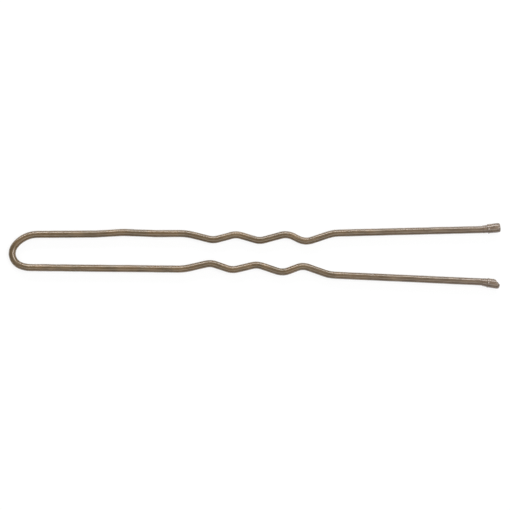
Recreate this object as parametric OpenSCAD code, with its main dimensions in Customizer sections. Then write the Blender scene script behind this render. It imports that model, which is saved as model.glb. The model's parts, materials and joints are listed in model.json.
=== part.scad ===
// Waved hair pin: one round wire bent to a U, crimped in three waves on each leg,
// with a dipped resin tip on each end.
// The pin lies flat. X runs from the crown to the points, the left leg is on +Y and Z is up.
// The origin is on the surface that the pin rests on, under the middle of its length.
// A half spacing is the distance from the pin's middle line to the axis of the wire.

/* [Wire] */
// Diameter of the lacquered wire
wire_d = 1.15; // [0.9:0.05:1.4]
// Radius of the wire's axis in the bends of the waves
bend_r = 2.7; // [1.6:0.1:3.2]

/* [Overall] */
// Length from the outside of the crown to the points
pin_l = 76; // [62:1:96]
// Distance from the outside of the crown to the flex line, where each leg springs from the crown
root_l = 5; // [4.8:0.1:8]

/* [Crown] */
// Half spacing of the two legs at the crown
crown_half = 2.57; // [2.2:0.01:3.1]
// Axis radius of the tight bend at the end of the pin
nose_r = 2; // [1.6:0.05:2.2]
// How far the tight bend sits towards the right leg
nose_shift = 0.4; // [0:0.05:0.5]
// Axis radius of the wider bend that leads into the left leg
left_side_r = 4.4; // [4:0.1:5]
// Axis radius of the wider bend that leads into the right leg
right_side_r = 4; // [3.6:0.1:4.4]

/* [Waves] */
// Distance from the outside of the crown to the first dip, as the mean of the two legs
first_dip_l = 31.36; // [26:0.02:36]
// Distance from one dip to the next
wave_pitch = 7.2; // [5.6:0.1:8.8]
// How much further from the crown the left leg's waves sit than the right leg's
stagger = 0.45; // [0:0.05:1]
// How far each crest sits past the middle of its two dips
crest_lag = [-0.05, 0.4]; // [-0.4:0.05:0.4]
// Half spacing at the first dip
dip_half = 1.85; // [1.7:0.01:2]
// How much wider each further dip stands
dip_spread = 0.06; // [0:0.01:0.1]
// Half spacing at the first crest
crest_half = 2.69; // [2.6:0.01:2.9]
// How much wider the next crest stands
crest_spread = 0.19; // [0:0.01:0.2]
// How far the waved stretch as a whole stands towards the left, at the first dip
bow = 0.18; // [0:0.01:0.25]

/* [Shanks and tails] */
// Half spacing where the straight shanks end
shank_half = 2.75; // [2.6:0.01:3]
// Distance from the knee that ends the shank to the first dip
shank_knee_l = 5; // [4.2:0.1:5.8]
// Axis radius of that knee
shank_knee_r = 8; // [3:0.5:12]
// How far along the left shank its slight kink is, as a share of the shank
kink_place = 0.61; // [0.4:0.01:0.65]
// How far the kink reaches to each side, as a share of the shank
kink_reach = 0.23; // [0.15:0.01:0.25]
// How far the kink stands out from the straight
kink_out = 0.21; // [0.1:0.01:0.3]
// Axis radius of the three slight bends of the kink
kink_r = 12; // [8:1:16]
// Half spacing where the straight tails start
tail_half = 3.26; // [3.1:0.01:3.5]
// Distance from the last dip to the knee that starts the tail
tail_knee_l = 5; // [4.2:0.1:5.5]
// Axis radius of that knee
tail_knee_r = 6; // [3:0.5:9]
// Angle at which each tail runs outwards
tail_splay = 2; // [0:0.1:4]
// Further angle at which the wire flicks outwards just before the tip
flick = 5; // [2:0.5:8]
// Axis radius of that flick
flick_r = 4; // [3:0.5:8]

/* [Tips] */
// Length of the thick part of the resin tip
tip_l = 2; // [1.6:0.1:3]
// Thickness of the resin round the wire
tip_wall = 0.155; // [0.1:0.005:0.3]
// Thickness of the resin over the cut end of the wire in the left tip
left_end_wall = 0.45; // [0.3:0.05:0.8]
// Length of the thin collar of resin that runs back along the wire
collar_l = 0.75; // [0.3:0.05:1.5]
// Thickness of the collar at its thin edge
collar_edge = 0.02; // [0.015:0.005:0.05]
// Thickness of the collar where it meets the thick part
collar_wall = 0.07; // [0.05:0.005:0.09]
// Corner radius at the mouth of the thick part
mouth_round = 0.04; // [0.02:0.01:0.06]
// Corner radius at the blunt end of the left tip
left_end_round = 0.3; // [0.1:0.05:0.5]
// Corner radius at the end of the right tip
right_end_round = 0.4; // [0.1:0.05:0.5]
// Angle of the slanted face on the inner side of the right tip
nose_slant = 42; // [30:1:60]
// How far that face reaches back from the end, which is also where the wire ends inside
nose_cut = 0.9; // [0.5:0.05:1]

/* [Fits] */
// Gap between the wire and the resin round it
tip_gap = 0.01; // [0.005:0.005:0.03]

/* [Hidden] */
$fn = 48;
// The lacquered wire is thinner by this much where it was stretched round a bend
bend_thinning = 0.01;
// A straight stretch reaches this far into the bends at its ends
lap = 0.05;
// Clear length of wire between the end of the flick and the collar
collar_setback = 0.06;
// Straight steps that each rounded corner of a tip is turned in
corner_steps = 6;
// Room beyond a piece for a cutter that has to pass right through it
past = 1;
wire_color = [0.47, 0.40, 0.32];
tip_color = [0.42, 0.36, 0.30];

LEFT = 1;
RIGHT = -1;
wire_r = wire_d / 2;
tip_r = wire_r + tip_gap + tip_wall;
bore_r = wire_r + tip_gap;
axis_z = tip_r;
crown_x = -pin_l / 2;
point_x = pin_l / 2;
root_x = crown_x + root_l;
last_dip = len(crest_lag);
end_l = collar_setback + collar_l + tip_l;
// The tight bend at the end of the pin stays small enough to leave the wider bends some room
nose_room = 0.1;
nose_bend_r = min(nose_r, crown_half - nose_shift - nose_room);
nose_x = crown_x + wire_r + nose_bend_r;

// In every function y is the distance from the middle line, so both legs read alike.

function side_r(side) = side == LEFT ? left_side_r : right_side_r;
function end_round(side) = side == LEFT ? left_end_round : right_end_round;
function end_wall(side) = side == LEFT ? left_end_wall : nose_cut;

function dip_x(side, i) = crown_x + first_dip_l + i * wave_pitch + side * stagger / 2;
function crest_x(side, i) = (dip_x(side, i) + dip_x(side, i + 1)) / 2 + crest_lag[i];

// The waved stretch leans to the left by the whole bow at the first dip, and by none at the last
function bow_at(side, x) =
    let (first = dip_x(side, 0), last = dip_x(side, last_dip))
    side * bow * min(1, (last - x) / (last - first));

// A turning point of the wire's axis is held as [x, half spacing, way]
// The way is 1 where the wire turns inwards, on a crest, and -1 where it turns outwards, in a dip.
function turning(side, x, half, way) = [x, half + bow_at(side, x), way];
function dip(side, i) = turning(side, dip_x(side, i), dip_half + i * dip_spread, -1);
function crest(side, i) = turning(side, crest_x(side, i), crest_half + i * crest_spread, 1);
function shank_knee(side) = turning(side, dip_x(side, 0) - shank_knee_l, shank_half, 1);
function waves(side) = [
    dip(side, 0),
    for (i = [0 : last_dip - 1]) each [crest(side, i), dip(side, i + 1)]
];

// Two bends that run straight into each other, this far apart in x and y, have radii of this sum
function meeting_sum(apart) = (pow(apart[0], 2) + pow(apart[1], 2)) / (2 * abs(apart[1]));

// The bends stay a little tighter than that, so that each flank of a wave keeps a straight
flank_fill = 0.95;
function room(a, b) = flank_fill * meeting_sum(b - a);
wave_r = min(bend_r, min([
    for (side = [LEFT, RIGHT], i = [1 : 2 * last_dip])
        room(waves(side)[i - 1], waves(side)[i]) / 2
]));
function shank_bend_r(side) = min(shank_knee_r, room(shank_knee(side), dip(side, 0)) - wave_r);

// A bend is held as [x, y, r]: the centre of its axis circle, and its radius times its way
function bend_at(t, r) = [t[0], t[1] - t[2] * r, t[2] * r];

// The wider bend beside the nose touches it from outside and levels out at the crown's half spacing
function side_bend(side) =
    let (r = side_r(side))
    let (rise = crown_half - r + side * nose_shift)
    [nose_x + sqrt(pow(r - nose_bend_r, 2) - pow(rise, 2)), crown_half - r, r];

// A point on the straight line of a shank, from the wider bend beside the nose to the knee
function shank_point(side, share) =
    let (start = side_bend(side)[0], end = shank_knee(side))
    [start + share * (end[0] - start), crown_half + share * (end[1] - crown_half)];
function kink_turning(share, out, way) =
    let (at = shank_point(LEFT, share))
    [at[0], at[1] + out, way];
function kinks(side) = side == RIGHT ? [] : [
    kink_turning(kink_place - kink_reach, 0, -1),
    kink_turning(kink_place, kink_out, 1),
    kink_turning(kink_place + kink_reach, 0, -1)
];

// The tail leaves its knee at the splay angle, from this x and at the tail's half spacing
function tail_x(side) = dip_x(side, last_dip) + tail_knee_l;
function tail_bend_r(side) =
    min(tail_knee_r, room(dip(side, last_dip), [tail_x(side), tail_half, 1]) - wave_r);
function tail_knee(side) =
    let (r = tail_bend_r(side))
    [tail_x(side) + r * sin(tail_splay), tail_half - r * cos(tail_splay), r];

function bends(side) = [
    side_bend(side),
    for (t = kinks(side)) bend_at(t, kink_r),
    bend_at(shank_knee(side), shank_bend_r(side)),
    for (t = waves(side)) bend_at(t, wave_r),
    tail_knee(side)
];

// The straight between two bends is the line that touches both of their axis circles
function span(a, b) = norm([b[0] - a[0], b[1] - a[1]]);
function feed(a, b) = sqrt(pow(span(a, b), 2) - pow(b[2] - a[2], 2));
function heading(a, b) = atan2(b[1] - a[1], b[0] - a[0]) + asin((b[2] - a[2]) / span(a, b));

// Heading of each straight of a leg, from the shank to the tail
function headings(side) =
    let (b = bends(side))
    [for (i = [1 : len(b) - 1]) heading(b[i - 1], b[i]), tail_splay];

// Where the wire leaves the wider bend beside the nose
function shank_start(side) =
    let (b = side_bend(side), h = headings(side)[0])
    [b[0] - b[2] * sin(h), b[1] + b[2] * cos(h)];
// Length of the shank that belongs to the crown, up to the flex line
function stub_l(side) = (root_x - shank_start(side)[0]) / cos(headings(side)[0]);
function root(side) =
    let (h = headings(side)[0])
    shank_start(side) + stub_l(side) * [cos(h), sin(h)];

// The tail is as long as it takes to bring the tip's outermost corner to the end of the pin
function tail_feed(side) =
    let (h = tail_splay + flick, c = end_round(side))
    let (overhang = c * (1 - cos(h)) + (tip_r - c) * sin(h))
    let (flick_l = flick_r * (sin(h) - sin(tail_splay)))
    (point_x - overhang - end_l * cos(h) - flick_l - tail_x(side)) / cos(tail_splay);

// The bending plan of a leg from the flex line on: [length to feed, angle to turn, radius]
function plan(side) =
    let (b = bends(side), h = headings(side))
    concat(
        [for (i = [1 : len(b) - 1])
            [feed(b[i - 1], b[i]) - (i == 1 ? stub_l(side) : 0), h[i] - h[i - 1], abs(b[i][2])]],
        [[tail_feed(side), flick, flick_r]]);

// A straight stretch of wire along X, with what it reaches into the bends before and after it
module straight(l, before = lap, after = lap) {
    translate([-before, 0, 0])
        rotate([0, 90, 0])
            cylinder(h = before + l + after, r = wire_r);
}

// A bend that starts at the origin along X and turns by this angle, positive to the left
module turned(angle, r, d) {
    translate([0, sign(angle) * r, 0])
        rotate([0, 0, angle > 0 ? -90 : 90 + angle])
            rotate_extrude(angle = abs(angle))
                translate([r, 0])
                    circle(d = d);
}

// Puts its children where such a bend ends
module after_turn(angle, r) {
    translate([0, sign(angle) * r, 0])
        rotate([0, 0, angle])
            translate([0, -sign(angle) * r, 0])
                children();
}

// The wire along a plan from step i on, and then straight for the given length
module bent_wire(steps, last_l, i = 0) {
    if (i < len(steps)) {
        step = steps[i];
        straight(step[0], before = i == 0 ? 0 : lap);
        translate([step[0], 0, 0]) {
            turned(step[1], step[2], wire_d - bend_thinning);
            after_turn(step[1], step[2])
                bent_wire(steps, last_l, i + 1);
        }
    } else {
        straight(last_l, after = 0);
    }
}

// Moves its children to the end of a plan, where the flick is over
module along(steps, i = 0) {
    if (i < len(steps))
        translate([steps[i][0], 0, 0])
            after_turn(steps[i][1], steps[i][2])
                along(steps, i + 1)
                    children();
    else
        children();
}

// Puts its children at the flex line of a leg, and turns the right leg's over
module at_root(side) {
    mirror([0, side == LEFT ? 0 : 1, 0])
        translate([root(side)[0], root(side)[1], axis_z])
            rotate([0, 0, headings(side)[0]])
                children();
}

module leg(side) {
    color(wire_color)
        at_root(side)
            bent_wire(plan(side), end_l - end_wall(side));
}

// Direction from the nose's centre to the place where it meets the wider bend
function nose_end(side) =
    let (b = side_bend(side))
    atan2(side * -nose_shift - b[1], nose_x - b[0]);

// One side of the crown: the wider bend and the stub of the shank up to the flex line
module crown_side(side) {
    b = side_bend(side);
    h = headings(side)[0];
    mirror([0, side == LEFT ? 0 : 1, 0]) {
        translate([b[0], b[1], 0])
            rotate([0, 0, 90 + h])
                rotate_extrude(angle = nose_end(side) - 90 - h)
                    translate([b[2], 0])
                        circle(d = wire_d - bend_thinning);
        translate([shank_start(side)[0], shank_start(side)[1], 0])
            rotate([0, 0, h])
                straight(stub_l(side), after = 0);
    }
}

module crown_bend() {
    lap_angle = asin(lap / nose_bend_r);
    start = nose_end(LEFT) - lap_angle;
    stop = 360 - nose_end(RIGHT) + lap_angle;
    color(wire_color)
        translate([0, 0, axis_z]) {
            translate([nose_x, -nose_shift, 0])
                rotate([0, 0, start])
                    rotate_extrude(angle = stop - start)
                        translate([nose_bend_r, 0])
                            circle(r = wire_r);
            crown_side(LEFT);
            crown_side(RIGHT);
        }
}

// Points along a rounded corner, from one direction to the other
function corner(centre, r, from, to) =
    [for (i = [0 : corner_steps])
        let (a = from + (to - from) * i / corner_steps)
        centre + r * [cos(a), sin(a)]];

// Half of the tip's outline, from the collar's thin edge to the end: the radius is X and the length Y
module tip_outline(c) {
    end = collar_l + tip_l;
    polygon(concat(
        [[0, 0], [bore_r + collar_edge, 0], [bore_r + collar_wall, collar_l]],
        corner([tip_r - mouth_round, collar_l + mouth_round], mouth_round, -90, 0),
        corner([tip_r - c, end - c], c, 0, 90),
        [[0, end]]
    ));
}

// The slanted face on the inner side: all that lies beyond it is cut away
module nose_cutter() {
    translate([collar_l + tip_l - nose_cut, -tip_r, -tip_r - past])
        rotate([0, 0, nose_slant])
            translate([-past, -2 * tip_l, 0])
                cube([2 * tip_l + past, 2 * tip_l, 2 * (tip_r + past)]);
}

module tip(side) {
    color(tip_color)
        at_root(side)
            along(plan(side))
                translate([collar_setback, 0, 0])
                    difference() {
                        rotate([0, 90, 0])
                            rotate_extrude()
                                tip_outline(end_round(side));
                        translate([-past, 0, 0])
                            rotate([0, 90, 0])
                                cylinder(h = past + collar_l + tip_l - end_wall(side), r = bore_r);
                        if (side == RIGHT)
                            nose_cutter();
                    }
}

module left_leg() {
    leg(LEFT);
}

module right_leg() {
    leg(RIGHT);
}

module left_tip() {
    tip(LEFT);
}

module right_tip() {
    tip(RIGHT);
}

crown_bend();
left_leg();
right_leg();
left_tip();
right_tip();
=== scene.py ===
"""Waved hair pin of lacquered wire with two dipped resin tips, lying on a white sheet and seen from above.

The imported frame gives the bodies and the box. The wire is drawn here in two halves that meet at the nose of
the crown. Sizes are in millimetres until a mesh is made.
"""
import json
import logging
import math
from dataclasses import dataclass, field
from enum import Enum
from typing import Any, Callable

import bpy
import numpy as np
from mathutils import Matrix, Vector

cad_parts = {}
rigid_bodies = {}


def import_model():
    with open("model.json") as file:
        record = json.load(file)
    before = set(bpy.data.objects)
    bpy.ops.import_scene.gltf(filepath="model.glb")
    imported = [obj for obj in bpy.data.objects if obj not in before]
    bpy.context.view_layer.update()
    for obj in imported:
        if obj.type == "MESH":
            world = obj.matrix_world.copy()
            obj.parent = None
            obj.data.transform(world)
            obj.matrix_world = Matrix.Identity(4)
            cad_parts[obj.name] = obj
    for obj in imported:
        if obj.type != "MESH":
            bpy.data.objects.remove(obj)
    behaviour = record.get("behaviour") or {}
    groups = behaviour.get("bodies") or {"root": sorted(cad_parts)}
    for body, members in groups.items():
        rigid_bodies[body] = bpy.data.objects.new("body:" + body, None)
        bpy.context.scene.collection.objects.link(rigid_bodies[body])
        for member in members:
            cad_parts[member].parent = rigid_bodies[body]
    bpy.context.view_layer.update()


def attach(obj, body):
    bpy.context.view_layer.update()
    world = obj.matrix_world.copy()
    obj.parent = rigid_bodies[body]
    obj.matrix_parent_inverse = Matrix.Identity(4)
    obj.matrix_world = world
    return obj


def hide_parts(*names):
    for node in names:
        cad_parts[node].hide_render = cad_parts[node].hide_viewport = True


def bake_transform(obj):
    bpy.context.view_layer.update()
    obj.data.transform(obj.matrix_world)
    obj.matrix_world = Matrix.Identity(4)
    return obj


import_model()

LOG = logging.getLogger("hair_pin")
MM = 0.001
# Points that are nearer to each other than this, in metres, are one point
SAME_PLACE = 0.0001 * MM
# Edges that bend by more degrees than this stay sharp
SHARP_ANGLE = 40
# Sockets of a Mix node that is set to colours: its factor, its two colours, and the colour that comes out
FACTOR, COLOR_A, COLOR_B, MIXED = 0, 6, 7, 2


class Side(Enum):
    """A leg of the pin, as the sign of its Y."""

    LEFT = 1
    RIGHT = -1

    @property
    def word(self) -> str:
        """The side's name as it stands in piece and body names."""
        return self.name.lower()


# Small tools


def linear(hex_color: str) -> tuple[float, float, float, float]:
    """Turns an sRGB hex colour into the linear colour that shaders take.

    Args:
        hex_color: Six hex digits, red first.

    Returns:
        Linear red, green, blue and an alpha of 1.
    """
    channels = [int(hex_color[i : i + 2], 16) / 255 for i in (0, 2, 4)]
    return (*(c / 12.92 if c <= 0.04045 else ((c + 0.055) / 1.055) ** 2.4 for c in channels), 1.0)


def add_node(
    tree: bpy.types.NodeTree, kind: str, inputs: dict | None = None, **settings: Any
) -> bpy.types.Node:
    """Adds a shader node with its settings and inputs.

    Args:
        tree: The tree that gets the node.
        kind: The node's type name.
        inputs: For each input's name or number, the socket that feeds it or the value that it gets.
        settings: The node's own properties.

    Returns:
        The new node.
    """
    node = tree.nodes.new(kind)
    for name, value in settings.items():
        setattr(node, name, value)
    for name, value in (inputs or {}).items():
        if isinstance(value, bpy.types.NodeSocket):
            tree.links.new(value, node.inputs[name])
        else:
            node.inputs[name].default_value = value
    return node


def new_material(name: str) -> tuple[bpy.types.Material, bpy.types.NodeTree]:
    """Makes an empty node material.

    Args:
        name: What the finish is.

    Returns:
        The material and its node tree.
    """
    material = bpy.data.materials.new(name)
    material.use_nodes = True
    material.node_tree.nodes.clear()
    return material, material.node_tree


def start_piece(add: Callable[..., Any], **settings: Any) -> bpy.types.Object:
    """Adds a primitive with nothing else selected, and opens it in edit mode with all of it selected.

    Args:
        add: The primitive's operator.
        settings: The operator's settings.

    Returns:
        The new object, in edit mode.
    """
    bpy.ops.object.select_all(action="DESELECT")
    add(**settings)
    piece = bpy.context.object
    bpy.ops.object.mode_set(mode="EDIT")
    bpy.ops.mesh.select_mode(type="VERT")
    bpy.ops.mesh.select_all(action="SELECT")
    return piece


def finish_piece(piece: bpy.types.Object, name: str, material: bpy.types.Material) -> None:
    """Leaves edit mode, puts the object at the origin and names, shades and paints it.

    Args:
        piece: The object, in edit mode.
        name: The piece's name.
        material: Its finish.
    """
    bpy.ops.mesh.select_all(action="SELECT")
    bpy.ops.mesh.remove_doubles(threshold=SAME_PLACE)
    bpy.ops.mesh.normals_make_consistent(inside=False)
    bpy.ops.object.mode_set(mode="OBJECT")
    bpy.ops.object.transform_apply(location=True, rotation=True, scale=True)
    bpy.ops.object.shade_smooth_by_angle(angle=math.radians(SHARP_ANGLE))
    piece.name = piece.data.name = name
    piece.data.materials.clear()
    piece.data.materials.append(material)


def push_ring(step: Vector, scale: float = 1.0, centre: Vector | None = None) -> None:
    """Extrudes the selected ring by a step and then scales it.

    Args:
        step: How far the new ring is moved, in metres.
        scale: The factor that the new ring is scaled by.
        centre: The centre of the new ring, in metres.
    """
    bpy.ops.mesh.extrude_region_move(TRANSFORM_OT_translate={"value": step})
    if scale != 1.0:
        bpy.ops.transform.resize(value=(scale, scale, scale), center_override=centre)


# The wire's route


@dataclass(frozen=True)
class PinSizes:
    """The pin's sizes in millimetres. All but the collar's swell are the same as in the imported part."""

    wire_d: float = 1.15
    pin_l: float = 76
    root_l: float = 5
    bend_r: float = 2.7
    crown_half: float = 2.57
    nose_r: float = 2
    nose_shift: float = 0.4
    side_r: dict[Side, float] = field(default_factory=lambda: {Side.LEFT: 4.4, Side.RIGHT: 4})
    first_dip_l: float = 31.36
    wave_pitch: float = 7.2
    stagger: float = 0.45
    crest_lag: tuple[float, ...] = (-0.05, 0.4)
    dip_half: float = 1.85
    dip_spread: float = 0.06
    crest_half: float = 2.69
    crest_spread: float = 0.19
    bow: float = 0.18
    shank_half: float = 2.75
    shank_knee_l: float = 5
    shank_knee_r: float = 8
    kink_place: float = 0.61
    kink_reach: float = 0.23
    kink_out: float = 0.21
    kink_r: float = 12
    tail_half: float = 3.26
    tail_knee_l: float = 5
    tail_knee_r: float = 6
    tail_splay: float = 2
    flick: float = 5
    flick_r: float = 4
    tip_l: float = 2
    tip_wall: float = 0.155
    tip_gap: float = 0.01
    left_end_wall: float = 0.45
    end_round: dict[Side, float] = field(default_factory=lambda: {Side.LEFT: 0.3, Side.RIGHT: 0.4})
    collar_l: float = 0.75
    collar_swell: dict[Side, float] = field(default_factory=lambda: {Side.LEFT: 0.2, Side.RIGHT: 1.0})
    collar_setback: float = 0.06
    nose_slant: float = 42
    nose_cut: float = 0.9

    @property
    def wire_r(self) -> float:
        """Radius of the lacquered wire."""
        return self.wire_d / 2

    @property
    def bore_r(self) -> float:
        """Radius of the bore that the resin leaves round the wire."""
        return self.wire_r + self.tip_gap

    @property
    def tip_r(self) -> float:
        """Radius of the thick part of a tip, and the height of the wire's axis."""
        return self.bore_r + self.tip_wall

    @property
    def end_l(self) -> float:
        """Length from the end of the flick to the end of the tip."""
        return self.collar_setback + self.collar_l + self.tip_l

    @property
    def nose_x(self) -> float:
        """X of the centre of the tight bend at the nose."""
        return -self.pin_l / 2 + self.wire_r + self.nose_r

    def end_wall(self, side: Side) -> float:
        """Resin past the wire's cut end, which on the right is as much as the nose's slant cuts away."""
        return self.left_end_wall if side is Side.LEFT else self.nose_cut


@dataclass(frozen=True)
class Station:
    """A place on the wire's axis: the way to it along the wire, its X and Y, and its heading in degrees."""

    way: float
    x: float
    y: float
    heading: float

    def point(self, z: float, ahead: float = 0.0, left: float = 0.0) -> Vector:
        """Finds a point beside the station.

        Args:
            z: Its height.
            ahead: How far it lies along the heading.
            left: How far it lies to the left of the axis.

        Returns:
            The point in metres.
        """
        cos, sin = math.cos(math.radians(self.heading)), math.sin(math.radians(self.heading))
        return Vector((self.x + ahead * cos - left * sin, self.y + ahead * sin + left * cos, z)) * MM

    def tilt(self) -> tuple[float, float, float]:
        """The rotation that turns a flat ring square to the wire."""
        return (0.0, math.pi / 2, math.radians(self.heading))


@dataclass(frozen=True)
class Stretch:
    """A straight or a bend: where it starts, its length, and the degrees that it turns to the left."""

    start: Station
    length: float
    turn: float = 0.0

    def at(self, share: float) -> Station:
        """Finds a station on the stretch.

        Args:
            share: How far along the stretch it is, from 0 to 1.

        Returns:
            The station.
        """
        begun, ahead = self.start, self.length * share
        way, h = begun.way + ahead, math.radians(begun.heading)
        if not self.turn:
            return Station(way, begun.x + ahead * math.cos(h), begun.y + ahead * math.sin(h), begun.heading)
        r, end = self.length / math.radians(self.turn), h + math.radians(self.turn) * share
        x, y = begun.x + r * (math.sin(end) - math.sin(h)), begun.y - r * (math.cos(end) - math.cos(h))
        return Station(way, x, y, math.degrees(end))


@dataclass
class WireRoute:
    """The bending plan of one half of the wire, from the apex of the nose to the cut end.

    Turning points are kept as distances from the pin's middle line, so both sides read alike.
    """

    sizes: PinSizes
    side: Side

    def dip_x(self, i: int) -> float:
        """X of the dip with this number."""
        s = self.sizes
        return -s.pin_l / 2 + s.first_dip_l + i * s.wave_pitch + self.side.value * s.stagger / 2

    def tail_x(self) -> float:
        """X at which the wire is at the tail's half spacing."""
        return self.dip_x(len(self.sizes.crest_lag)) + self.sizes.tail_knee_l

    def waves(self) -> list[tuple[float, float, int]]:
        """Lists the knee of the shank, the dips and the crests.

        Returns:
            For each, its X, its distance from the middle line, and 1 for a crest or -1 for a dip.
        """
        s = self.sizes
        first_x, last_x = self.dip_x(0), self.dip_x(len(s.crest_lag))
        found = [(first_x - s.shank_knee_l, s.shank_half, 1), (first_x, s.dip_half, -1)]
        for i, lag in enumerate(s.crest_lag):
            middle = (self.dip_x(i) + self.dip_x(i + 1)) / 2
            found.append((middle + lag, s.crest_half + i * s.crest_spread, 1))
            found.append((self.dip_x(i + 1), s.dip_half + (i + 1) * s.dip_spread, -1))
        lean = [self.side.value * s.bow * min(1.0, (last_x - x) / (last_x - first_x)) for x, _, _ in found]
        return [(x, half + bow, way) for (x, half, way), bow in zip(found, lean)]

    def circles(self) -> list[tuple[float, float, float]]:
        """Lists the axis circles of the leg's bends.

        Returns:
            For each, the X and Y of its centre, and its radius, negative where the wire turns outwards.
        """
        s = self.sizes
        r = s.side_r[self.side]
        rise = s.crown_half - r + self.side.value * s.nose_shift
        level_x = s.nose_x + math.sqrt((r - s.nose_r) ** 2 - rise**2)
        knee, *waves = self.waves()
        bends = [(level_x, s.crown_half, 1, r)]
        if self.side is Side.LEFT:
            near, far = s.kink_place - s.kink_reach, s.kink_place + s.kink_reach
            for share, out, way in ((near, 0.0, -1), (s.kink_place, s.kink_out, 1), (far, 0.0, -1)):
                x = level_x + share * (knee[0] - level_x)
                bends.append((x, s.crown_half + share * (knee[1] - s.crown_half) + out, way, s.kink_r))
        bends.append((*knee, s.shank_knee_r))
        bends += [(*wave, s.bend_r) for wave in waves]
        found = [(x, half - way * radius, way * radius) for x, half, way, radius in bends]
        splay, r = math.radians(s.tail_splay), s.tail_knee_r
        found.append((self.tail_x() + r * math.sin(splay), s.tail_half - r * math.cos(splay), r))
        return found

    def steps(self) -> list[tuple[float, float, float]]:
        """Works out the bending plan.

        Returns:
            For each step, the length to feed, then the angle to turn outwards in degrees, and its radius.
        """
        s = self.sizes
        circles = self.circles()
        ahead = circles[0]
        meet = math.degrees(math.atan2(-self.side.value * s.nose_shift - ahead[1], s.nose_x - ahead[0]))
        feeds, headings = [], []
        for a, b in zip(circles, circles[1:]):
            gap = math.hypot(b[0] - a[0], b[1] - a[1])
            feeds.append(math.sqrt(gap**2 - (b[2] - a[2]) ** 2))
            lean = math.atan2(b[1] - a[1], b[0] - a[0])
            headings.append(math.degrees(lean + math.asin((b[2] - a[2]) / gap)))
        headings.append(s.tail_splay)
        plan = [(0.0, meet - 180, s.nose_r), (0.0, 90 + headings[0] - meet, s.side_r[self.side])]
        for i, feed in enumerate(feeds):
            plan.append((feed, headings[i + 1] - headings[i], abs(circles[i + 1][2])))
        plan.append((self.tail_feed(), s.flick, s.flick_r))
        plan.append((s.end_l - s.end_wall(self.side), 0.0, 0.0))
        return plan

    def tail_feed(self) -> float:
        """Works out the straight tail, which brings the tip's outermost corner to the end of the pin.

        Returns:
            Its length.
        """
        s = self.sizes
        corner = s.end_round[self.side]
        splay, lean = math.radians(s.tail_splay), math.radians(s.tail_splay + s.flick)
        overhang = corner * (1 - math.cos(lean)) + (s.tip_r - corner) * math.sin(lean)
        flick_l = s.flick_r * (math.sin(lean) - math.sin(splay))
        room = s.pin_l / 2 - overhang - s.end_l * math.cos(lean) - flick_l - self.tail_x()
        return room / math.cos(splay)

    def start(self) -> Station:
        """The apex of the nose, from where each half of the wire sets off to its own side."""
        s = self.sizes
        return Station(0.0, -s.pin_l / 2 + s.wire_r, -s.nose_shift, 90.0 * self.side.value)

    def stretches(self) -> list[Stretch]:
        """Walks the plan.

        Returns:
            Every straight and bend in order. The last straight reaches into the tip.
        """
        found, here = [], self.start()
        for feed, turn, radius in self.steps():
            if feed:
                found.append(Stretch(here, feed))
                here = found[-1].at(1)
            if turn:
                found.append(Stretch(here, abs(math.radians(turn)) * radius, turn * self.side.value))
                here = found[-1].at(1)
        return found

    def collar(self) -> Station:
        """Where the resin's collar begins, on the last straight."""
        last = self.stretches()[-1]
        return last.at(self.sizes.collar_setback / last.length)


# Finishes


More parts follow.
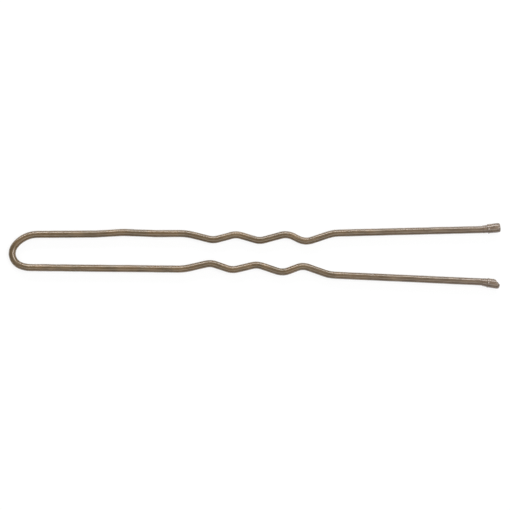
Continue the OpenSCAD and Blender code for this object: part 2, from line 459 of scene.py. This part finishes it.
@dataclass(frozen=True)
class LacqueredWire:
    """Drawn spring steel wire under a baked bronze brown lacquer.

    It gives the eye a satin brown rod with a beige gloss line along its lit side, broken by faint draw
    marks. The sizes of its patterns are in millimetres.
    """

    brown: str = "644F33"
    umber: str = "56452C"
    rubbed: str = "806D50"
    mauve: str = "5E4F42"
    metallic: float = 0.25
    roughness: float = 0.27
    mark_l: float = 2.5
    mark_w: float = 0.25
    cloud_w: float = 2.0
    dust_w: float = 1 / 7
    mauve_from: float = 45.0
    mauve_to: float = 75.0

    def material(self) -> bpy.types.Material:
        """Builds the material. Its patterns read the wire's own attribute, which holds millimetres along it.

        Returns:
            The material.
        """
        material, tree = new_material("bronze_lacquer_on_drawn_steel")
        place = add_node(tree, "ShaderNodeAttribute", attribute_name="wire_space").outputs["Vector"]
        # Draw marks are hair lines on real wire, too fine to show, and are drawn coarser
        grain = (1 / self.mark_l, 1 / self.mark_w, 1 / self.mark_w)
        drawn = add_node(tree, "ShaderNodeMapping", {"Vector": place, "Scale": grain})
        marks = add_node(
            tree, "ShaderNodeTexNoise", {"Vector": drawn.outputs[0], "Scale": 1.0, "Detail": 4.0}
        )
        # The lacquer pools in cloudy patches
        clouds = add_node(
            tree, "ShaderNodeTexNoise", {"Vector": place, "Scale": 1 / self.cloud_w, "Detail": 3.0}
        )
        # Pits and dust under the lacquer
        dust = add_node(
            tree, "ShaderNodeTexNoise", {"Vector": place, "Scale": 1 / self.dust_w, "Detail": 2.0}
        )
        patchy = add_node(
            tree, "ShaderNodeMapRange", {"Value": clouds.outputs[0], "From Min": 0.38, "From Max": 0.62}
        )
        tone = add_node(
            tree,
            "ShaderNodeMix",
            {FACTOR: patchy.outputs[0], COLOR_A: linear(self.umber), COLOR_B: linear(self.brown)},
            data_type="RGBA",
        )
        # Towards the points the lacquer turns greyer
        along = add_node(tree, "ShaderNodeSeparateXYZ", {0: place})
        far = add_node(tree, "ShaderNodeMath", {0: along.outputs["X"]}, operation="ABSOLUTE")
        aged = add_node(
            tree,
            "ShaderNodeMapRange",
            {"Value": far.outputs[0], "From Min": self.mauve_from, "From Max": self.mauve_to, "To Max": 0.7},
        )
        tone = add_node(
            tree,
            "ShaderNodeMix",
            {FACTOR: aged.outputs[0], COLOR_A: tone.outputs[MIXED], COLOR_B: linear(self.mauve)},
            data_type="RGBA",
        )
        # The ridges between the marks are rubbed paler
        rub = add_node(
            tree,
            "ShaderNodeMapRange",
            {"Value": marks.outputs[0], "From Min": 0.52, "From Max": 0.72, "To Max": 0.45},
        )
        color = add_node(
            tree,
            "ShaderNodeMix",
            {FACTOR: rub.outputs[0], COLOR_A: tone.outputs[MIXED], COLOR_B: linear(self.rubbed)},
            data_type="RGBA",
        )
        rough = add_node(
            tree,
            "ShaderNodeMapRange",
            {"Value": marks.outputs[0], "From Min": 0.3, "From Max": 0.7, "To Min": self.roughness - 0.08,
             "To Max": self.roughness + 0.1},
        )
        relief = add_node(
            tree,
            "ShaderNodeMath",
            {0: dust.outputs[0], 1: 0.25, 2: marks.outputs[0]},
            operation="MULTIPLY_ADD",
        )
        bump = add_node(
            tree, "ShaderNodeBump", {"Height": relief.outputs[0], "Strength": 0.55, "Distance": 0.04 * MM}
        )
        shader = add_node(
            tree,
            "ShaderNodeBsdfPrincipled",
            {"Base Color": color.outputs[MIXED], "Metallic": self.metallic, "Roughness": rough.outputs[0],
             "Normal": bump.outputs[0], "Coat Weight": 0.7, "Coat Roughness": 0.15, "Coat IOR": 1.5},
        )
        add_node(tree, "ShaderNodeOutputMaterial", {"Surface": shader.outputs[0]})
        return material


@dataclass(frozen=True)
class DippedResin:
    """Epoxy resin, coloured brown like the lacquer, that was dipped on as a drop and baked hard.

    It gives the eye a rounder, wetter gloss than the wire, with a faint unevenness where it ran.
    """

    body: str = "5C4D3F"
    thin: str = "6C5B4A"
    metallic: float = 0.1
    roughness: float = 0.26
    run_w: float = 2 / 3

    def material(self) -> bpy.types.Material:
        """Builds the material. Its patterns read Object coordinates in metres.

        Returns:
            The material.
        """
        material, tree = new_material("brown_dipped_epoxy_resin")
        place = add_node(tree, "ShaderNodeTexCoord").outputs["Object"]
        # The drop ran in waves of about two thirds of a millimetre
        runs = add_node(
            tree, "ShaderNodeTexNoise", {"Vector": place, "Scale": 1 / (self.run_w * MM), "Detail": 1.0}
        )
        mottled = add_node(
            tree, "ShaderNodeMapRange", {"Value": runs.outputs[0], "From Min": 0.35, "From Max": 0.65}
        )
        tone = add_node(
            tree,
            "ShaderNodeMix",
            {FACTOR: mottled.outputs[0], COLOR_A: linear(self.body), COLOR_B: linear(self.thin)},
            data_type="RGBA",
        )
        bump = add_node(
            tree, "ShaderNodeBump", {"Height": runs.outputs[0], "Strength": 0.25, "Distance": 0.05 * MM}
        )
        rough = add_node(
            tree,
            "ShaderNodeMapRange",
            {"Value": runs.outputs[0], "To Min": self.roughness - 0.06, "To Max": self.roughness + 0.08},
        )
        shader = add_node(
            tree,
            "ShaderNodeBsdfPrincipled",
            {"Base Color": tone.outputs[MIXED], "Metallic": self.metallic, "Roughness": rough.outputs[0],
             "Normal": bump.outputs[0], "Coat Weight": 0.6, "Coat Roughness": 0.14, "Coat IOR": 1.5},
        )
        add_node(tree, "ShaderNodeOutputMaterial", {"Surface": shader.outputs[0]})
        return material


@dataclass(frozen=True)
class WhiteSheet:
    """Matt white paper. It gives the eye a white ground that still holds the pin's soft shadow."""

    paper: str = "F4F4F4"
    own_light: float = 0.85
    mirrored: float = 0.15
    fibre_w: float = 10 / 9

    def material(self) -> bpy.types.Material:
        """Builds the material, part paper and part plain white for what the camera and reflections see.

        Returns:
            The material.
        """
        material, tree = new_material("matt_white_paper")
        place = add_node(tree, "ShaderNodeTexCoord").outputs["Object"]
        # Single fibres are too fine to show, so clumps of them are drawn
        fibres = add_node(
            tree, "ShaderNodeTexNoise", {"Vector": place, "Scale": 1 / (self.fibre_w * MM), "Detail": 3.0}
        )
        bump = add_node(
            tree, "ShaderNodeBump", {"Height": fibres.outputs[0], "Strength": 0.05, "Distance": 0.1 * MM}
        )
        paper = add_node(
            tree,
            "ShaderNodeBsdfPrincipled",
            {"Base Color": linear(self.paper), "Roughness": 0.9, "Specular IOR Level": 0.1,
             "Normal": bump.outputs[0]},
        )
        white = add_node(tree, "ShaderNodeEmission", {"Color": linear("FFFFFF"), "Strength": 1.0})
        path = add_node(tree, "ShaderNodeLightPath")
        bent = add_node(
            tree,
            "ShaderNodeMath",
            {0: path.outputs["Is Glossy Ray"], 1: path.outputs["Is Transmission Ray"]},
            operation="MAXIMUM",
        )
        bent = add_node(tree, "ShaderNodeMath", {0: bent.outputs[0], 1: self.mirrored}, operation="MULTIPLY")
        share = add_node(
            tree,
            "ShaderNodeMath",
            {0: path.outputs["Is Camera Ray"], 1: self.own_light, 2: bent.outputs[0]},
            operation="MULTIPLY_ADD",
        )
        mix = add_node(
            tree, "ShaderNodeMixShader", {0: share.outputs[0], 1: paper.outputs[0], 2: white.outputs[0]}
        )
        add_node(tree, "ShaderNodeOutputMaterial", {"Surface": mix.outputs[0]})
        return material


# The pin


@dataclass
class WireHalf:
    """One half of the wire: half of the nose, the wider bend beside it, and the whole waved leg.

    Its ring has so many sides. Rings stand a gap apart on a straight, and a step of degrees apart in a bend.
    """

    sizes: PinSizes
    side: Side
    sides: int = 40
    ring_gap: float = 0.45
    bend_step: float = 6.0
    least_steps: int = 3
    press_w: float = 1.6
    press_depth: float = 0.035
    flex_reach: float = 4.4
    measured_steps: int = 24

    def __post_init__(self) -> None:
        """Lays the route."""
        self.route = WireRoute(self.sizes, self.side)

    def draw(self, stretch: Stretch) -> None:
        """Draws the selected ring on along one stretch of the wire.

        Args:
            stretch: The straight to extrude along, or the bend to spin round.
        """
        if not stretch.turn:
            pushes = max(1, math.ceil(stretch.length / self.ring_gap))
            step = (stretch.at(1).point(0) - stretch.at(0).point(0)) / pushes
            for _ in range(pushes):
                push_ring(step)
            return
        radius = stretch.length / math.radians(stretch.turn)
        bpy.ops.mesh.spin(
            steps=max(self.least_steps, math.ceil(abs(stretch.turn) / self.bend_step)),
            angle=math.radians(abs(stretch.turn)),
            center=stretch.start.point(self.sizes.tip_r, left=radius),
            axis=(0, 0, -math.copysign(1, stretch.turn)),
        )

    def build(self) -> bpy.types.Object:
        """Draws the wire from the apex of the nose to the cut end, and closes both ends.

        Returns:
            The wire, in edit mode.
        """
        s = self.sizes
        begun = self.route.start()
        piece = start_piece(
            bpy.ops.mesh.primitive_circle_add,
            vertices=self.sides,
            radius=s.wire_r * MM,
            location=begun.point(s.tip_r),
            rotation=begun.tilt(),
        )
        for stretch in self.route.stretches():
            self.draw(stretch)
        self.press(piece)
        bpy.ops.mesh.select_all(action="SELECT")
        bpy.ops.mesh.fill_holes(sides=0)
        return piece

    def press(self, piece: bpy.types.Object) -> None:
        """Sinks shallow marks of the bending tools into the wire.

        This is done while its ends are open, so that all of its normals are square to the wire.

        Args:
            piece: The open tube, in edit mode.
        """
        bpy.ops.mesh.select_all(action="SELECT")
        bpy.ops.mesh.normals_make_consistent(inside=False)
        bpy.ops.object.mode_set(mode="OBJECT")
        bpy.ops.object.transform_apply(location=True, rotation=True, scale=True)
        marks = bpy.data.textures.new(f"{self.side.word}_press_marks", "CLOUDS")
        marks.noise_scale = self.press_w * MM
        marks.noise_depth = 1
        bpy.ops.object.modifier_add(type="DISPLACE")
        displace = piece.modifiers[-1]
        displace.texture = marks
        displace.texture_coords = "LOCAL"
        # The marks only go inwards
        displace.mid_level = 1.0
        displace.strength = self.press_depth * MM
        bpy.ops.object.modifier_apply(modifier=displace.name)
        bpy.ops.object.mode_set(mode="EDIT")

    def measure(self, piece: bpy.types.Object) -> None:
        """Gives each point its place on the wire in millimetres: along it, to its left and above its axis.

        The left half counts forwards from the nose and the right half backwards, so that patterns run on
        across the nose.

        Args:
            piece: The finished mesh.
        """
        steps = self.measured_steps
        stations = [part.at(i / steps) for part in self.route.stretches() for i in range(steps + 1)]
        places = np.array([(p.way, p.x, p.y, math.radians(p.heading)) for p in stations])
        points = np.array([v.co for v in piece.data.vertices]) / MM
        apart = ((points[:, None, :2] - places[None, :, 1:3]) ** 2).sum(2)
        near = places[apart.argmin(1)]
        off = points[:, :2] - near[:, 1:3]
        cos, sin = np.cos(near[:, 3]), np.sin(near[:, 3])
        along = near[:, 0] + off[:, 0] * cos + off[:, 1] * sin
        left = off[:, 1] * cos - off[:, 0] * sin
        space = np.stack([along, left, points[:, 2] - self.sizes.tip_r], axis=1)
        space[:, :2] *= self.side.value
        attribute = piece.data.attributes.new("wire_space", "FLOAT_VECTOR", "POINT")
        attribute.data.foreach_set("vector", space.astype(np.float32).ravel())

    def dress(self, finish: bpy.types.Material) -> bpy.types.Object:
        """Builds the half, paints it and hides the imported crown and its leg.

        Args:
            finish: The wire's material.

        Returns:
            The piece.
        """
        piece = self.build()
        finish_piece(piece, f"{self.side.word}_wire", finish)
        self.measure(piece)
        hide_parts("crown_bend", f"{self.side.word}_leg")
        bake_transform(piece)
        return piece


@dataclass
class ResinTip:
    """A tip: a thin collar on the wire and a thicker drop of resin over its cut end."""

    sizes: PinSizes
    side: Side
    sides: int = 48
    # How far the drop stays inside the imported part's end and flanks
    shy: float = 0.003
    # Thickness of the collar at its thin edge
    edge: float = 0.008
    # Rings of the collar: the way from its edge, the radius, and what a full swell adds to it
    collar_rings: tuple[tuple[float, float, float], ...] = (
        (0.04, 0.599, 0.008), (0.2, 0.602, 0.015), (0.45, 0.606, 0.028),
        (0.65, 0.610, 0.040), (0.72, 0.612, 0.041), (0.74, 0.612, 0.038),
    )
    # Radii of the thick part's flat mouth, and of its rounded rim, which has rings at these angles
    mouth_radii: tuple[float, float] = (0.664, 0.7)
    rim_round: float = 0.04
    rim_angles: tuple[float, ...] = (0.5, 1.0, 1.57)
    # Rings of the bead behind the rim and of the waist after it: the way from the mouth, and the radius
    bead_rings: tuple[tuple[float, float], ...] = (
        (0.13, 0.739), (0.17, 0.735), (0.25, 0.711), (0.3, 0.708), (0.6, 0.717), (0.9, 0.731),
    )
    # Way from the mouth to where the drop is at its thickest
    thickest: float = 1.2
    corner_steps: int = 7
    # Rings on the flat of the end, as shares of its radius
    flat_shares: tuple[float, ...] = (0.7, 0.4, 0.1)
    # Widths of the two bands just inside the slanted face's edge, which is smoothed with them
    soft_bands: tuple[float, float] = (0.06, 0.08)

    def outline(self) -> list[tuple[float, float]]:
        """Lists the rings of the tip.

        Returns:
            For each ring its distance from the collar's edge and its radius, from the bottom of the bore,
            back to the collar's edge, and then on the outside to the end.
        """
        s, mouth, rim = self.sizes, self.sizes.collar_l, self.mouth_radii[-1]
        swell, corner = s.collar_swell[self.side], s.end_round[self.side]
        end, full = mouth + s.tip_l - self.shy, s.tip_r - self.shy
        rings = [(end - s.end_wall(self.side), s.bore_r), (0.0, s.bore_r), (0.0, s.bore_r + self.edge)]
        rings += [(way, radius + more * swell) for way, radius, more in self.collar_rings]
        rings += [(mouth, radius) for radius in self.mouth_radii]
        for a in self.rim_angles:
            rings.append((mouth + self.rim_round * (1 - math.cos(a)), rim + self.rim_round * math.sin(a)))
        rings += [(mouth + way, radius) for way, radius in self.bead_rings]
        rings += [(mouth + self.thickest, s.tip_r), (end - corner, full)]
        for i in range(1, self.corner_steps + 1):
            a = math.pi / 2 * i / self.corner_steps
            rings.append((end - corner + corner * math.sin(a), full - corner * (1 - math.cos(a))))
        flat = rings[-1][1]
        return rings + [(end, flat * share) for share in self.flat_shares]

    def build(self) -> bpy.types.Object:
        """Draws the drop ring by ring, closes it, and slants the nose of the right one.

        Returns:
            The tip, in edit mode.
        """
        s = self.sizes
        here = WireRoute(s, self.side).collar()
        rings = self.outline()
        piece = start_piece(
            bpy.ops.mesh.primitive_circle_add,
            vertices=self.sides,
            radius=rings[0][1] * MM,
            location=here.point(s.tip_r, ahead=rings[0][0]),
            rotation=here.tilt(),
        )
        for before, after in zip(rings, rings[1:]):
            place = here.point(s.tip_r, ahead=after[0])
            push_ring(place - here.point(s.tip_r, ahead=before[0]), after[1] / before[1], place)
        bpy.ops.mesh.select_all(action="SELECT")
        bpy.ops.mesh.fill_holes(sides=0)
        if self.side is Side.RIGHT:
            self.slant(here)
        return piece

    def slant(self, here: Station) -> None:
        """Cuts the slanted face on the inner side and rounds its edge.

        Args:
            here: Where the collar begins.
        """
        s = self.sizes
        slope = math.radians(s.nose_slant)
        ahead = here.point(0, ahead=1) - here.point(0)
        outward = (here.point(0, left=1) - here.point(0)) * self.side.value
        normal = ahead * math.sin(slope) - outward * math.cos(slope)
        point = here.point(s.tip_r, ahead=s.collar_l + s.tip_l - s.nose_cut) - outward * s.tip_r
        bpy.ops.mesh.select_all(action="SELECT")
        # The operator's own threshold would melt together all within a tenth of a millimetre of the cut
        bpy.ops.mesh.bisect(
            plane_co=point,
            plane_no=normal.normalized(),
            use_fill=True,
            clear_outer=True,
            threshold=SAME_PLACE,
        )
        bpy.ops.mesh.remove_doubles(threshold=0.01 * MM)
        bpy.ops.mesh.select_mode(type="FACE")
        for band in self.soft_bands:
            bpy.ops.mesh.inset(thickness=band * MM)
        bpy.ops.mesh.select_more()
        bpy.ops.mesh.select_more()
        bpy.ops.mesh.select_mode(type="VERT")
        bpy.ops.mesh.vertices_smooth(factor=0.5, repeat=3)

    def dress(self, finish: bpy.types.Material) -> bpy.types.Object:
        """Builds the tip, paints it and sets it on its leg.

        Args:
            finish: The resin's material.

        Returns:
            The piece.
        """
        piece = self.build()
        finish_piece(piece, f"{self.side.word}_resin_tip", finish)
        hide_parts(f"{self.side.word}_tip")
        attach(piece, f"{self.side.word}_leg")
        return piece


# The studio


@dataclass(frozen=True)
class SoftBox:
    """A soft lamp that faces the pin. Its place, width and height are in metres and its power in watts."""

    name: str
    place: tuple[float, float, float]
    size: tuple[float, float]
    power: float

    def hang(self) -> None:
        """Hangs the lamp, out of the camera's sight."""
        bpy.ops.object.light_add(type="AREA", location=self.place)
        lamp = bpy.context.object
        lamp.name = self.name
        lamp.rotation_euler = (-Vector(self.place)).to_track_quat("-Z", "Y").to_euler()
        lamp.data.shape = "RECTANGLE"
        lamp.data.size, lamp.data.size_y = self.size
        lamp.data.energy = self.power
        lamp.visible_camera = False


@dataclass
class Studio:
    """The white sheet, the soft lights and the camera that looks straight down.

    The camera's centre, view and distance are in millimetres, and the sheet's size is in metres.
    """

    sizes: PinSizes
    centre: tuple[float, float] = (0.08, -0.265)
    roll: float = 0.6
    view_width: float = 78.78
    distance: float = 600.0
    sensor_width: float = 36.0
    sheet_size: float = 6.0
    horizon: float = 0.32
    overhead: float = 0.42
    lamps: tuple[SoftBox, ...] = (
        SoftBox("window_strip", (-0.06, 0.7, 0.36), (1.1, 0.2), 7.0),
        SoftBox("front_fill", (0.05, -0.6, 0.85), (1.0, 0.4), 2.4),
        SoftBox("side_window", (0.42, 0.05, 0.72), (0.6, 0.35), 4.5),
    )

    def floor(self) -> None:
        """Lays the white sheet on which the pin lies."""
        bpy.ops.object.select_all(action="DESELECT")
        bpy.ops.mesh.primitive_plane_add(size=self.sheet_size)
        sheet = bpy.context.object
        sheet.name = "white_sheet"
        sheet.data.materials.append(WhiteSheet().material())

    def world(self) -> None:
        """Surrounds the pin with a pale room that is a little lighter overhead."""
        world = bpy.data.worlds.new("pale_room")
        bpy.context.scene.world = world
        world.use_nodes = True
        tree = world.node_tree
        tree.nodes.clear()
        way = add_node(tree, "ShaderNodeTexCoord")
        split = add_node(tree, "ShaderNodeSeparateXYZ", {0: way.outputs["Generated"]})
        height = add_node(
            tree, "ShaderNodeMapRange", {"Value": split.outputs["Z"], "From Min": 0.05, "From Max": 0.75}
        )
        low, high = ((tone, tone, tone, 1.0) for tone in (self.horizon, self.overhead))
        tone = add_node(
            tree, "ShaderNodeMix", {FACTOR: height.outputs[0], COLOR_A: low, COLOR_B: high}, data_type="RGBA"
        )
        back = add_node(tree, "ShaderNodeBackground", {"Color": tone.outputs[MIXED], "Strength": 1.0})
        add_node(tree, "ShaderNodeOutputWorld", {"Surface": back.outputs[0]})

    def camera(self) -> None:
        """Hangs the camera over the pin, turned as little as the photographed pin is."""
        data = bpy.data.cameras.new("overhead")
        data.sensor_width = self.sensor_width
        data.lens = self.sensor_width * self.distance / self.view_width
        data.clip_start, data.clip_end = 0.01, 20.0
        camera = bpy.data.objects.new("overhead", data)
        bpy.context.scene.collection.objects.link(camera)
        camera.location = Vector((*self.centre, self.sizes.tip_r + self.distance)) * MM
        camera.rotation_euler = (0.0, 0.0, math.radians(self.roll))
        bpy.context.scene.camera = camera

    def build(self) -> None:
        """Sets up the whole studio."""
        self.floor()
        for lamp in self.lamps:
            lamp.hang()
        self.world()
        self.camera()
        bpy.context.scene.view_settings.view_transform = "Standard"


def main() -> None:
    """Builds the pin and the studio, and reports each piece."""
    logging.basicConfig(level=logging.INFO, format="%(name)s: %(message)s")
    sizes = PinSizes()
    wire, resin = LacqueredWire().material(), DippedResin().material()
    pieces = [WireHalf(sizes, side).dress(wire) for side in Side]
    pieces += [ResinTip(sizes, side).dress(resin) for side in Side]
    for piece in pieces:
        LOG.info("%s has %d faces", piece.name, len(piece.data.polygons))
    Studio(sizes).build()


if __name__ == "__main__":
    main()
